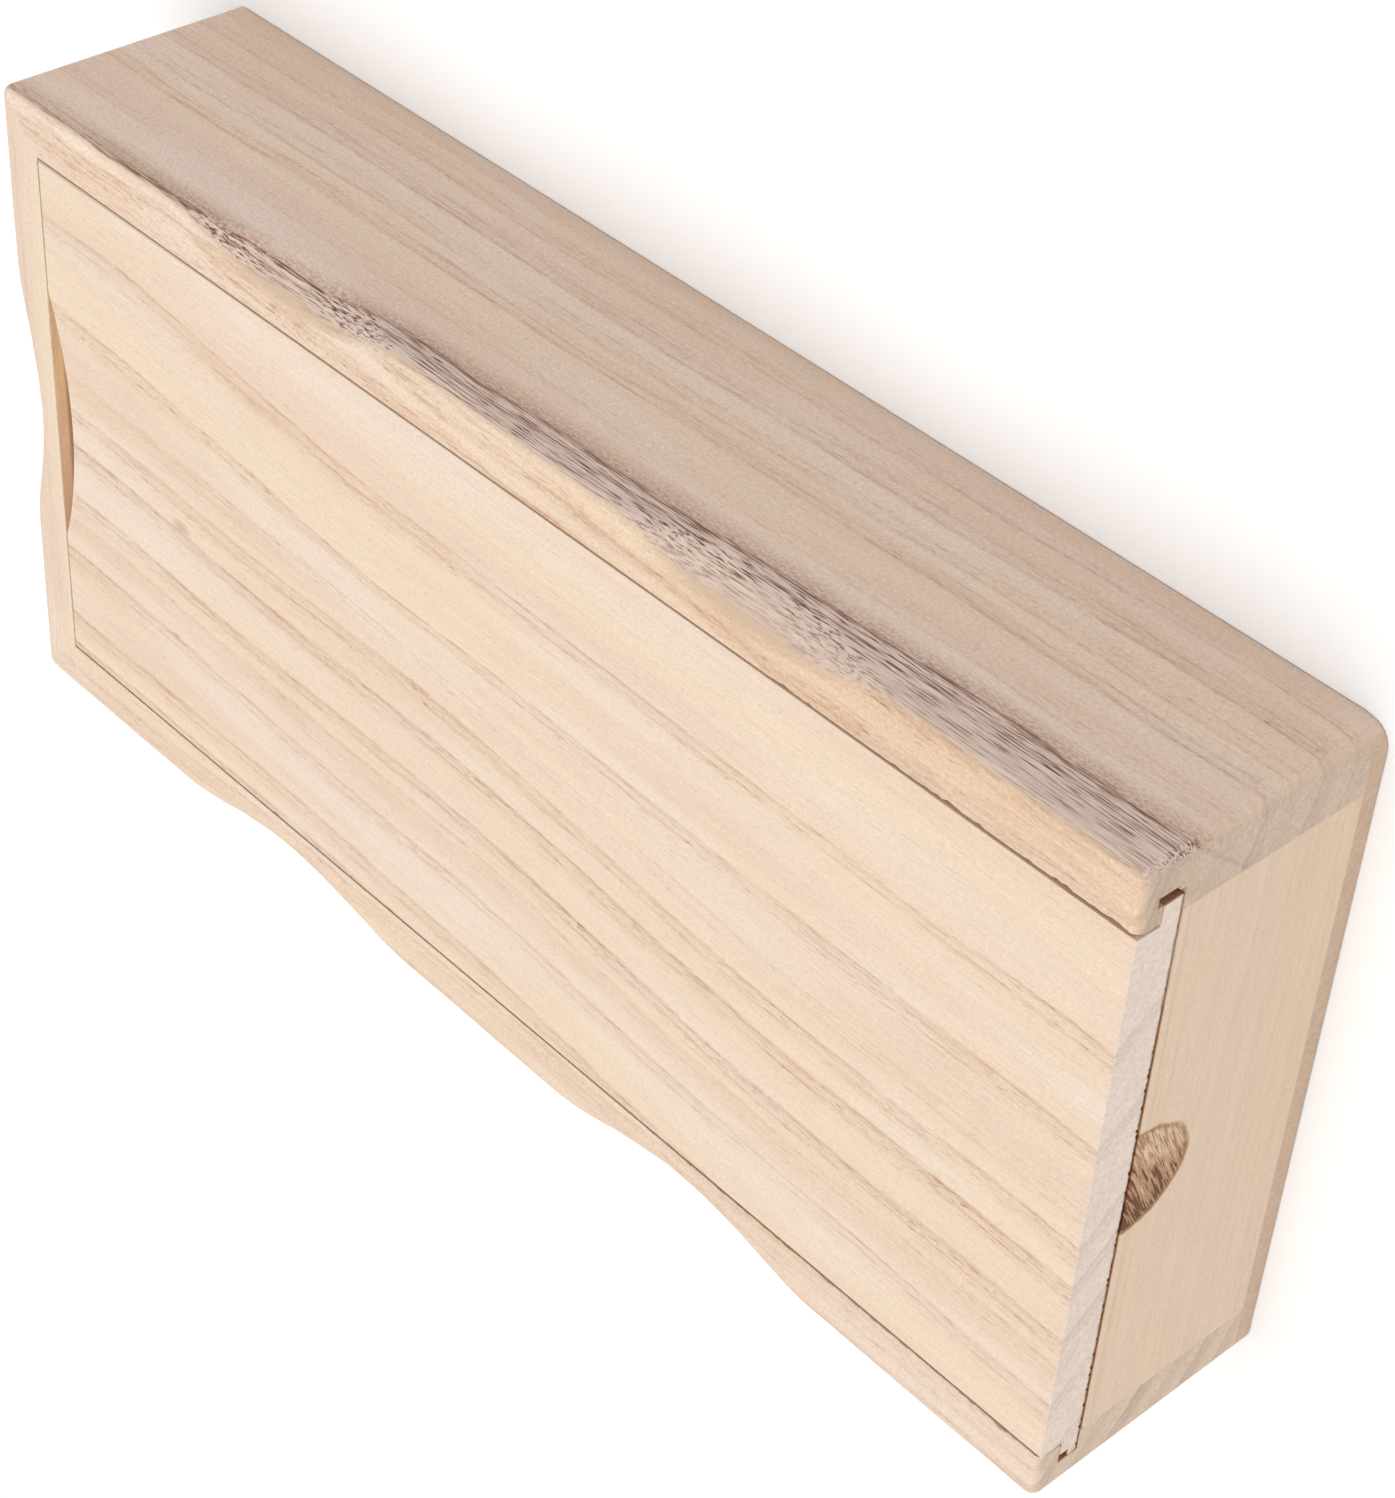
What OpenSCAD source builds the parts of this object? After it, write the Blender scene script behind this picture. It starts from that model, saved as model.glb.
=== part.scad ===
// Wooden box with a sliding lid.
//
// The box lies flat on its bottom board. X runs along its length, towards the
// front where the lid slides out, Y across it and Z up. The origin is at the
// middle of the underside. Two side boards and the back board are cut from one
// grooved strip and meet in mitres at the back. A lower front panel stands
// between the side boards, so that the lid passes over it. The lid's tongue
// runs in the groove under the walls' lips, and its face lies level with them.
// Shallow scoops are carved into the outer upper edge of the three walls.

/* [Box] */
// Outside length, along the way the lid slides
box_l = 210; // [140:1:400]
// Outside width
box_w = 100; // [70:1:240]
// Outside height, from the table to the face of the lid
box_h = 40; // [25:0.5:120]

/* [Boards] */
// Thickness of the side boards and the back board
wall_t = 8; // [7:0.1:14]
// Thickness of the front panel
panel_t = 8; // [4:0.1:14]
// Thickness of the bottom board
bottom_t = 3; // [2:0.1:8]
// Radius of the upright outer corners
corner_r = 2; // [0.5:0.1:3]
// Radius of the outer upper edge of the walls
arris_r = 1.2; // [0.4:0.1:1.6]
// Radius of the lower edge of the bottom board
base_r = 0.8; // [0.3:0.1:1.5]
// Bevel on the upper outer edge of the front panel
panel_bevel = 1; // [0.2:0.1:1.5]

/* [Lid] */
// Thickness of the lid
lid_t = 7; // [5.5:0.1:10]
// Height of the walls' lips over the tongue of the lid
lip_t = 3.6; // [2.5:0.1:4]
// Depth of the groove, from the inner face of the walls
groove_d = 3.4; // [2:0.1:4]
// Play between the tongue and each face of the groove
tongue_play = 0.15; // [0.05:0.05:0.4]
// Gap between the lid's face and the lips round it
rim_gap = 0.3; // [0.15:0.05:0.8]
// Gap between the underside of the lid and the front panel
panel_gap = 0.5; // [0.2:0.05:1]
// Bevel on the front edges of the lid's face
lid_bevel = 0.5; // [0.2:0.1:1]

/* [Thumb notch] */
// Length of the crescent cut into the back edge of the lid
notch_l = 43; // [20:1:60]
// Depth of the crescent, from the edge of the back lip
notch_d = 4.4; // [2:0.1:8]

/* [Carved edge] */
// Length of each scoop on the side boards
scoop_l = 45; // [20:1:60]
// Distance of the side scoops' middles from the middle of the box
scoop_pos = 41.5; // [31:0.5:60]
// Length of the one scoop on the back board
back_scoop_l = 45; // [20:1:60]
// How far a scoop cuts in across the rim
scoop_in = 4; // [2:0.1:4.5]
// How far a scoop runs down the outer face
scoop_down = 6; // [3:0.1:9]

/* [Hidden] */

eps = 1; // how far a cutter stands out of the wood
round_fn = 64;
scoop_fn = 240;

back_x = -box_l / 2;
front_x = box_l / 2;
side_y = box_w / 2;
wall_h = box_h - bottom_t;

// Inner faces of the walls
inner_back_x = back_x + wall_t;
inner_y = side_y - wall_t;

// The lid, and the groove that its tongue runs in
lid_z = box_h - lid_t;
tongue_t = lid_t - lip_t - tongue_play;
groove_z = lid_z - tongue_play;
groove_h = lid_t - lip_t + tongue_play;
tongue_reach = groove_d - tongue_play;

// Front panel
panel_z = bottom_t;
panel_h = lid_z - panel_gap - bottom_t;

// Depth of a scoop square to its slope
scoop_slope = norm([scoop_in, scoop_down]);
scoop_depth = scoop_in * scoop_down / scoop_slope;

// Radius of the arc with this chord and this rise in its middle
function arc_radius(chord, rise) = (pow(chord / 2, 2) + rise * rise) / (2 * rise);

// Outline of the box seen from above, with round corners
module outline() {
    square([box_l - 2 * corner_r, box_w], center = true);
    square([box_l, box_w - 2 * corner_r], center = true);
    for (x = [back_x + corner_r, front_x - corner_r], y = [-1, 1] * (side_y - corner_r))
        translate([x, y]) circle(r = corner_r, $fn = round_fn);
}

// Waste that rounds an edge lying along X, with the wood at -Y and -Z
module edge_waste(length, r) {
    rotate([90, 0, 90])
        linear_extrude(length, center = true)
            difference() {
                translate([-r, -r]) square(r + eps);
                translate([-r, -r]) circle(r = r, $fn = round_fn);
            }
}

// Waste of one scoop across an edge lying along X, with the wood at -Y and -Z
module scoop_waste(length) {
    r = arc_radius(length, scoop_depth);
    translate([0, -scoop_in / 2, -scoop_down / 2])
        rotate([atan(scoop_in / scoop_down), 0, 0])
            translate([0, r, 0])
                cylinder(r = r, h = 2 * scoop_slope + 2 * eps, center = true, $fn = scoop_fn);
}

// The groove that runs round the two sides and the back
module groove_waste() {
    translate([inner_back_x - groove_d, -inner_y - groove_d, groove_z])
        cube([front_x - inner_back_x + groove_d + eps, 2 * (inner_y + groove_d), groove_h]);
}

// Board standing on the bottom board over a plan given as a child
module wall_board() {
    difference() {
        translate([0, 0, bottom_t])
            linear_extrude(wall_h)
                intersection() {
                    outline();
                    children();
                }
        groove_waste();
    }
}

// Side board at +Y, mitred at the back
module side_board() {
    difference() {
        wall_board()
            polygon([[back_x, side_y], [front_x, side_y], [front_x, inner_y], [inner_back_x, inner_y]]);
        translate([0, side_y, box_h]) {
            edge_waste(box_l + 2 * eps, arris_r);
            for (x = [-scoop_pos, scoop_pos])
                translate([x, 0, 0]) scoop_waste(scoop_l);
        }
    }
}

module right_side() {
    color("BurlyWood") side_board();
}

module left_side() {
    color("Wheat") mirror([0, 1, 0]) side_board();
}

// Board across the back, mitred at both ends
module back_board() {
    color("NavajoWhite")
        difference() {
            wall_board()
                polygon([[back_x, -side_y], [inner_back_x, -inner_y], [inner_back_x, inner_y], [back_x, side_y]]);
            translate([back_x, 0, box_h])
                rotate([0, 0, 90]) {
                    edge_waste(box_w + 2 * eps, arris_r);
                    scoop_waste(back_scoop_l);
                }
        }
}

// Low panel between the side boards, under the path of the lid
module front_panel() {
    color("Bisque")
        translate([front_x, 0, panel_z])
            rotate([90, 0, 0])
                linear_extrude(2 * inner_y, center = true)
                    polygon([
                        [-panel_t, 0], [0, 0], [0, panel_h - panel_bevel],
                        [-panel_bevel, panel_h], [-panel_t, panel_h]
                    ]);
}

// Thin board glued under the walls and the front panel
module bottom_board() {
    color("Tan")
        difference() {
            linear_extrude(bottom_t) outline();
            for (turn = [0, 180])
                rotate([0, 0, turn]) {
                    translate([0, side_y, 0]) mirror([0, 0, 1]) edge_waste(box_l + 2 * eps, base_r);
                    translate([front_x, 0, 0]) mirror([0, 0, 1]) rotate([0, 0, -90])
                        edge_waste(box_w + 2 * eps, base_r);
                }
        }
}

// Flat plate of the lid, from its back edge to the front, reaching over the edge
// of the groove by so much on three sides
module lid_plate(reach, z, height) {
    plate_x = inner_back_x - reach;
    translate([plate_x, -inner_y - reach, z])
        cube([front_x - plate_x, 2 * (inner_y + reach), height]);
}

// Sliding lid: a tongue on three sides, a face that lies level with the lips,
// and a crescent for the thumb, cut into its back edge down to the tongue
module lid() {
    notch_r = arc_radius(notch_l, notch_d);
    color("AntiqueWhite")
        difference() {
            union() {
                lid_plate(tongue_reach, lid_z, tongue_t);
                lid_plate(-rim_gap, lid_z, lid_t);
            }
            translate([inner_back_x + notch_d - notch_r, 0, lid_z + tongue_t])
                cylinder(r = notch_r, h = lid_t - tongue_t + eps, $fn = scoop_fn);
            translate([front_x, 0, box_h])
                rotate([0, 45, 0])
                    cube([lid_bevel * sqrt(2), box_w, lid_bevel * sqrt(2)], center = true);
        }
}

right_side();
left_side();
back_board();
front_panel();
bottom_board();
lid();
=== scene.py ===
"""A small box of bare pale wood with a sliding lid and carved scoops along its rim.

The box lies flat, X runs towards the front where the lid slides out, and Z is up.
"""

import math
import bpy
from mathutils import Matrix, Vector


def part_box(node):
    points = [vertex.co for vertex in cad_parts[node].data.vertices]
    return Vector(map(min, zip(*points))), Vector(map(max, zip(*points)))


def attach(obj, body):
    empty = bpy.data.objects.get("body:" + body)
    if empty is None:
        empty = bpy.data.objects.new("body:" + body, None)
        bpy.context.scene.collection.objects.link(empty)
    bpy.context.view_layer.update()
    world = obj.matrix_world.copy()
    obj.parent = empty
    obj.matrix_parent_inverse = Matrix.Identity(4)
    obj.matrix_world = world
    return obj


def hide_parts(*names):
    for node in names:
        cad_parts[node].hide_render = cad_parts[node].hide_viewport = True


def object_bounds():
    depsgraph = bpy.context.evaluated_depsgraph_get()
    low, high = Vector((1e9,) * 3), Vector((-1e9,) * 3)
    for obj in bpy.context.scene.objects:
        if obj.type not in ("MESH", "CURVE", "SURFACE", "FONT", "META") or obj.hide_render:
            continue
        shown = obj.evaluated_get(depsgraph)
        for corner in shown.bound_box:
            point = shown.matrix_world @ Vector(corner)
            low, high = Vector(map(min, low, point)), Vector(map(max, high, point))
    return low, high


bl_info = {
    "name": "Sliding lid wooden box",
    "version": (1, 0, 0),
    "blender": (4, 5, 0),
    "location": "View3D > Sidebar > Wooden box",
    "description": "Builds a small wooden box with a sliding lid and a carved rim",
    "category": "Object",
}

import bmesh
import bpy
from mathutils import Matrix, Vector, noise

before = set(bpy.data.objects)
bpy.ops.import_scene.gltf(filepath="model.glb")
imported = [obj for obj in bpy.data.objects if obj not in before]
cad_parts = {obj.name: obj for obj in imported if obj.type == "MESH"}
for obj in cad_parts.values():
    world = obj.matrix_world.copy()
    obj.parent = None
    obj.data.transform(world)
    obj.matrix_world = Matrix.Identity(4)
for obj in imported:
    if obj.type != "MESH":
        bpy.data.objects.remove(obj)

MM = 0.001
CAD_BOX = [list(corner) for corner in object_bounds()]
LOW, HIGH = (Vector(corner) for corner in CAD_BOX)

# Scoops of each wall, in mm along it: middle, reach on either side, how far each cuts in
# across the rim and down the face, and how sharp its second end is, from 0 to 1.
SCOOPS = {
    "right": ((-43, 24, 23, 3.7, 6.0, 0.9), (43, 25, 25, 3.8, 6.0, 0.5)),
    "left": ((-43, 27, 27, 3.6, 6.0, 0.0), (41, 26, 26, 4.0, 6.0, 0.0)),
    "back": ((-1, 23, 25, 3.4, 5.5, 0.0),),
    "front": (),
}

# How finely the boards are cut across before their edges are carved or torn: how many cuts
# there are along the outer edges, at which heights in mm the walls are cut, and the steps in
# mm and the number of the cuts along the lips, the front panel and the lid
RIM_CUTS = 159
WALL_CUTS = (1.6, 3, 5, 8, 12, 17, 24, 31)
LIP_STEP, LIP_CUTS = 0.8, 124
PANEL_STEP, PANEL_CUTS = 0.5, 167
LID_STEP, LID_CUTS = 0.45, 199

# The lid's tongue, in mm: the play over it, what its right side lacks in width, and the chip
# in its left side, by where it starts, how deep it goes and how high its floor lies
TONGUE_PLAY = 0.15
TONGUE_SHORT = 0.95
CHIP_START, CHIP_DEPTH, CHIP_FLOOR = 40, 1.25, 34.6

# The knot in the front panel: its middle and its reach along Y and Z, in mm, and how its
# streaks lean
KNOT_MIDDLE = (0.2, 33.0)
KNOT_REACH = (8.3, 10.3)
KNOT_LEAN = math.radians(27)

# Colours of the marks on the wood. Those of tints are multiplied on what lies under them.
# Painted shade in the groove of the walls
GROOVE_SHADE_TINT = (0.50, 0.26, 0.14)
# Painted shade on the outer edges of the lid's tongue
TONGUE_SHADE_TINT = (0.42, 0.23, 0.14)
# Painted shade on the front panel's upper edge, under the lid
PANEL_EDGE_SHADE_TINT = (0.46, 0.29, 0.18)
PANEL_LINE_TINT = (0.88, 0.84, 0.80)
# Painted bounce light on the back lip's inner face, golden and tan
LIP_GOLD_LIGHT_TINT = (1.27, 1.17, 0.89)
LIP_TAN_LIGHT_TINT = (1.17, 1.04, 0.92)
RIM_WARM_TINT = (0.985, 0.955, 0.905)
# Painted light on the top of the right rim, at its back and at its front
RIM_BACK_LIGHT_TINT = (1.08, 1.12, 1.11)
RIM_FRONT_LIGHT_TINT = (1.01, 1.01, 0.98)
CREST_TINT = (1.0, 0.94, 0.82)
BLOOM = (0.340, 0.165, 0.105)
FLECKS = (0.205, 0.098, 0.068)
KNOT_PALE = (0.780, 0.600, 0.420)
KNOT_BROWN = (0.560, 0.300, 0.165)
KNOT_RIM = (0.400, 0.215, 0.100)

# The camera of the photograph's view: its place in mm, and which way its right side, its top
# and its lens point
CAMERA_PLACE = (254.72, 271.80, 254.09)
CAMERA_RIGHT = (0.67085, 0.05465, -0.73957)
CAMERA_TOP = (-0.49614, 0.77429, -0.39283)
CAMERA_AHEAD = (-0.55118, -0.63046, -0.54655)

# How the grain of each board runs. turn: the way along it. rings: where the growth lines cross
# the face that shows most, in mm, and their strength. flat: True if that is the upper face.
# rest: where that face lies. tilt: how the rings lean into the board. sweep: how far and over
# which stretch they bend. early: which of them bend sooner, and by how much. lean: how steadily
# they drift sideways. lines, bands, grit: strength of the lines, of the broad bands and of the
# sandy grain. tone: the board's own tint. cut: colour of the cut ends. end: strength of the
# rings on them.
GRAIN = {
    "right_side": dict(
        turn=0, flat=False, rest=50, tilt=0.35, sweep=(3.6, -120, 120), wander=1.0, lines=0.95,
        rings=((3.5, 0.5), (8.4, 0.5), (14.4, 0.8), (19.6, 0.45), (23.8, 0.85), (31.0, 0.3),
               (39.5, 0.8), (40.9, 0.8), (42.8, 0.55)),
        bands=1.0, grit=2.2, tone=(0.955, 0.930, 0.945), cut=(0.720, 0.570, 0.455), end=1.10),
    "left_side": dict(
        turn=0, flat=False, rest=-50, tilt=0.70, sweep=(-2.5, -90, 90), wander=1.6, lines=0.85,
        rings=((-2.0, 0.5), (6.5, 0.5), (13.0, 0.7), (18.5, 0.4), (25.2, 0.9), (32.0, 0.45),
               (39.2, 0.5), (43.5, 0.6), (47.0, 0.4)),
        bands=1.0, grit=2.0, tone=(0.980, 0.970, 0.950), cut=(0.795, 0.625, 0.475), end=1.6),
    "back_board": dict(
        turn=90, flat=False, rest=105, tilt=-0.80, sweep=(2.0, -40, 40), wander=1.5, lines=0.45,
        rings=((2.0, 0.5), (9.0, 0.6), (15.5, 0.4), (24.0, 0.8), (30.5, 0.5), (38.0, 0.5),
               (44.0, 0.4)),
        bands=1.0, grit=1.8, tone=(0.970, 0.980, 0.970), cut=(0.770, 0.600, 0.455), end=1.0),
    "front_panel": dict(
        turn=90, flat=False, rest=-105, tilt=0.35, sweep=(0.8, -30, 40), wander=0.8, lines=0.22,
        rings=((6.2, 0.5), (11.0, 0.4), (14.5, 0.5), (19.2, 0.6), (24.4, 0.5), (27.0, 0.4),
               (30.6, 0.6)),
        bands=0.45, grit=1.3, tone=(0.965, 0.930, 0.900), cut=(0.770, 0.600, 0.455), end=1.0),
    "bottom_board": dict(
        turn=0, flat=True, rest=0, tilt=-1.3, sweep=(5.0, -60, 60), wander=2.0, lines=0.8,
        rings=((-44.0, 0.6), (-35.0, 0.8), (-24.0, 0.6), (-13.0, 0.8), (-2.0, 0.7), (8.0, 0.8),
               (19.0, 0.7), (30.0, 0.9), (41.0, 0.8)),
        bands=1.0, grit=1.8, tone=(0.950, 0.920, 0.920), cut=(0.700, 0.515, 0.385), end=0.25),
    "lid": dict(
        turn=0, flat=True, rest=40, tilt=0.70, sweep=(4.5, -18, 62), wander=1.1, lines=1.10,
        early=(3, 15, -72), lean=0.022,
        rings=((-40.2, 0.75), (-34.6, 0.80), (-23.2, 0.60), (-16.6, 0.35), (-12.2, 0.90),
               (-3.1, 0.80), (3.2, 0.70), (9.0, 0.25), (19.0, 0.60), (33.4, 0.62)),
        bands=1.0, grit=1.5, tone=(0.985, 0.985, 0.975), cut=(0.925, 0.775, 0.675), end=0.75),
}


def mm_length(default, least, most, **words):
    """A length that a user may change, with its values given in mm."""
    return bpy.props.FloatProperty(
        default=default * MM, min=least * MM, max=most * MM, unit="LENGTH", precision=5, **words)


def rgb_colour(**words):
    """A colour that a user may change."""
    return bpy.props.FloatVectorProperty(size=3, min=0, max=1, subtype="COLOR", **words)


class BoxSizes(bpy.types.PropertyGroup):
    corner: mm_length(
        name="Upright corners", description="Radius of the sanded upright corners",
        default=1.8, least=0.5, most=4)
    foot_corner: mm_length(
        name="Worn foot corner", description="Radius of the front right corner at the table",
        default=3.6, least=0.5, most=6)
    rim_round: mm_length(
        name="Rim round", description="How far the sanding rounds the outer edge of the rim",
        default=1.4, least=0.5, most=2.5)
    foot_round: mm_length(
        name="Foot round", description="Radius of the lower edge of the box",
        default=0.4, least=0.2, most=2)
    ease: mm_length(
        name="Eased edges", description="Width of the sanded bevel on the inner edges",
        default=0.25, least=0.05, most=1)
    wall: mm_length(
        name="Wall", description="Thickness of the side boards and the back board",
        default=8, least=6, most=14)
    lip: mm_length(
        name="Lip", description="Height of the lips over the tongue of the lid",
        default=3.6, least=2, most=5)
    groove: mm_length(
        name="Groove depth", description="Depth of the groove in the walls",
        default=3.4, least=2, most=5)
    groove_low: mm_length(
        name="Groove floor", description="Height of the groove's floor above the table",
        default=32.85, least=20, most=60)
    panel_ease: mm_length(
        name="Panel edge", description="Bevel on the upper outer edge of the front panel",
        default=0.25, least=0.1, most=2)
    notch_length: mm_length(
        name="Notch length", description="Length of the thumb notch",
        default=43, least=20, most=60)
    notch_depth: mm_length(
        name="Notch depth", description="Depth of the thumb notch from the edge of the back lip",
        default=3.9, least=2, most=8)
    gap: mm_length(
        name="Lid gap", description="Gap between the lid's face and the lips",
        default=0.25, least=0.1, most=1)
    flare: mm_length(
        name="Gap flare", description="How much wider the right gap is at the front",
        default=0.20, least=0, most=1)


class WoodLook(bpy.types.PropertyGroup):
    pale: rgb_colour(
        name="Pale wood", description="Colour of the creamy wood",
        default=(0.860, 0.690, 0.535))
    blush: rgb_colour(
        name="Blush", description="Colour of the broad pinkish bands",
        default=(0.830, 0.640, 0.505))
    milk: rgb_colour(
        name="Milky bands", description="Colour of the palest, coolest bands",
        default=(0.860, 0.720, 0.610))
    line: rgb_colour(
        name="Growth lines", description="Colour of the growth lines",
        default=(0.510, 0.270, 0.150))
    pore: rgb_colour(
        name="Pores", description="Colour of the short dark pores",
        default=(0.290, 0.145, 0.080))
    shade: rgb_colour(
        name="End grain lines", description="Colour of the growth lines on the cut ends",
        default=(0.430, 0.330, 0.270))
    worn: rgb_colour(
        name="Worn edges", description="Tint of the handled and carved edges",
        default=(0.700, 0.530, 0.375))
    streak: rgb_colour(
        name="Dark streak", description="Colour of the dark streak along the right rim",
        default=(0.265, 0.125, 0.085))
    haze: rgb_colour(
        name="Streak haze", description="Colour of the grey band beside the dark streak",
        default=(0.690, 0.540, 0.475))
    carved: rgb_colour(
        name="Carved wood", description="Colour that the scoops lay bare beside the streak",
        default=(0.700, 0.525, 0.385))
    knot: rgb_colour(
        name="Knot", description="Colour of the brown streaks in the sound side of the knot",
        default=(0.420, 0.230, 0.115))
    knot_dark: rgb_colour(
        name="Dark knot", description="Colour of the dark side of the knot",
        default=(0.135, 0.056, 0.028))


class StudioLook(bpy.types.PropertyGroup):
    floor: rgb_colour(
        name="Floor", description="Colour of the floor", default=(0.95, 0.95, 0.95))
    sky: bpy.props.FloatProperty(
        name="Room light", description="Strength of the even light all round",
        default=0.42, min=0, max=3)
    lamp: bpy.props.FloatProperty(
        name="Lamp", description="Strength of the broad lamp overhead",
        default=2.15, min=0, max=10)
    lamp_lean: bpy.props.FloatProperty(
        name="Lamp lean", description="How far the lamp leans from overhead towards the front",
        default=math.radians(10), min=0, max=math.radians(80), subtype="ANGLE")
    lens: bpy.props.FloatProperty(
        name="Lens", description="Focal length of the camera in mm",
        default=80.311, min=20, max=300)


# ---------------------------------------------------------------- modelling


def choose(*objects):
    """Selects only these objects and makes the first one active."""
    bpy.ops.object.select_all(action="DESELECT")
    for one in objects:
        one.select_set(True)
    bpy.context.view_layer.objects.active = objects[0]


def block(name, low, high):
    """A block between two corners in mm, with its size and place in its mesh."""
    low, high = Vector(low) * MM, Vector(high) * MM
    bpy.ops.object.select_all(action="DESELECT")
    bpy.ops.mesh.primitive_cube_add(size=1, location=(low + high) / 2)
    piece = bpy.context.object
    piece.name = name
    piece.scale = high - low
    bpy.ops.object.transform_apply(location=True, rotation=True, scale=True)
    return piece


def pick(piece, kind, test):
    """Opens edit mode with only those edges or faces selected that pass the test."""
    choose(piece)
    bpy.ops.object.mode_set(mode="EDIT")
    bpy.ops.mesh.select_mode(type=kind)
    bpy.ops.mesh.select_all(action="DESELECT")
    mesh = bmesh.from_edit_mesh(piece.data)
    for part in mesh.edges if kind == "EDGE" else mesh.faces:
        if test(part):
            part.select_set(True)
    bmesh.update_edit_mesh(piece.data)


def done():
    """Leaves edit mode."""
    bpy.ops.object.mode_set(mode="OBJECT")


def on_line(edge, **places):
    """True if both ends of an edge lie at these places in mm, such as y=42, z=40."""
    axes = {"x": 0, "y": 1, "z": 2}
    return all(
        abs(vert.co[axes[axis]] / MM - place) < 0.02
        for axis, place in places.items() for vert in edge.verts)


def round_edges(piece, test, width, segments):
    """Rounds the edges that pass the test."""
    pick(piece, "EDGE", test)
    bpy.ops.mesh.bevel(offset=width, offset_type="OFFSET", segments=segments, affect="EDGES")
    done()


def slice_board(piece, axis, places):
    """Cuts a board's faces across at these places in mm, for later shaping."""
    normal = [0, 0, 0]
    normal[axis] = 1
    pick(piece, "FACE", lambda face: True)
    for place in places:
        point = [0, 0, 0]
        point[axis] = place * MM
        bpy.ops.mesh.select_all(action="SELECT")
        bpy.ops.mesh.bisect(plane_co=point, plane_no=normal)
    done()


def trim(piece, point, normal):
    """Saws off what lies beyond a plane through a point in mm, on the normal's side."""
    pick(piece, "FACE", lambda face: True)
    bpy.ops.mesh.bisect(
        plane_co=Vector(point) * MM, plane_no=normal, use_fill=True, clear_outer=True)
    done()


def combine(piece, tool, operation):
    """Cuts a piece with a tool, or keeps what they share, and removes the tool."""
    choose(piece)
    modifier = piece.modifiers.new("Cut", "BOOLEAN")
    modifier.operation = operation
    modifier.solver = "EXACT"
    modifier.object = tool
    bpy.ops.object.modifier_apply(modifier=modifier.name)
    choose(tool)
    bpy.ops.object.delete()


def move_points(piece, rule):
    """Moves each point of a piece by a rule that gets and returns a place in mm."""
    for vert in piece.data.vertices:
        vert.co = Vector(rule(vert.co / MM)) * MM
    piece.data.update()


def smoothstep(value, low, high):
    """0 below low, 1 above high, and smooth between."""
    part = min(max((value - low) / (high - low), 0), 1)
    return part * part * (3 - 2 * part)


def uneven(*place):
    """How far a place strays from the average, from -1 to 1, smoothly and always the same."""
    return noise.noise(Vector(place))


def scoop_share(place, scoop):
    """How deep a scoop is at a place along its wall, from 0 to 1."""
    middle, reach_back, reach_front, _, _, sharp = scoop
    if place > middle:
        part = min((place - middle) / reach_front, 1)
    else:
        part = min((middle - place) / reach_back, 1)
        sharp = 0
    soft = math.cos(math.pi / 2 * part) ** 2
    return soft + (1 - part * part - soft) * sharp


def edge_cut(wall, place, rim_round):
    """Reach across the rim and down the face of the edge's rounding, and its flatness."""
    # Sanding by hand never goes quite evenly, in long waves and in short ones
    wobble = uneven(place * 0.045, len(wall) * 7.3, 0)
    fine = uneven(place * 0.21, len(wall) * 3.1, 5)
    across = down = rim_round * (1 + 0.22 * wobble + 0.08 * fine)
    flat = 0.0
    for scoop in SCOOPS[wall]:
        share = scoop_share(place, scoop)
        ripple = 1 + 0.05 * uneven(place * 0.3, 2.0, len(wall))
        across += (scoop[3] - across * 0.4) * share * ripple
        down += (scoop[4] - down) * share * ripple
        flat = max(flat, min(share * 2.2, 1) * 0.62)
    return across, down, flat


def node_box(node):
    """The lowest and the highest corner of a CAD node, in mm."""
    low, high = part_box(node)
    return low / MM, high / MM


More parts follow.
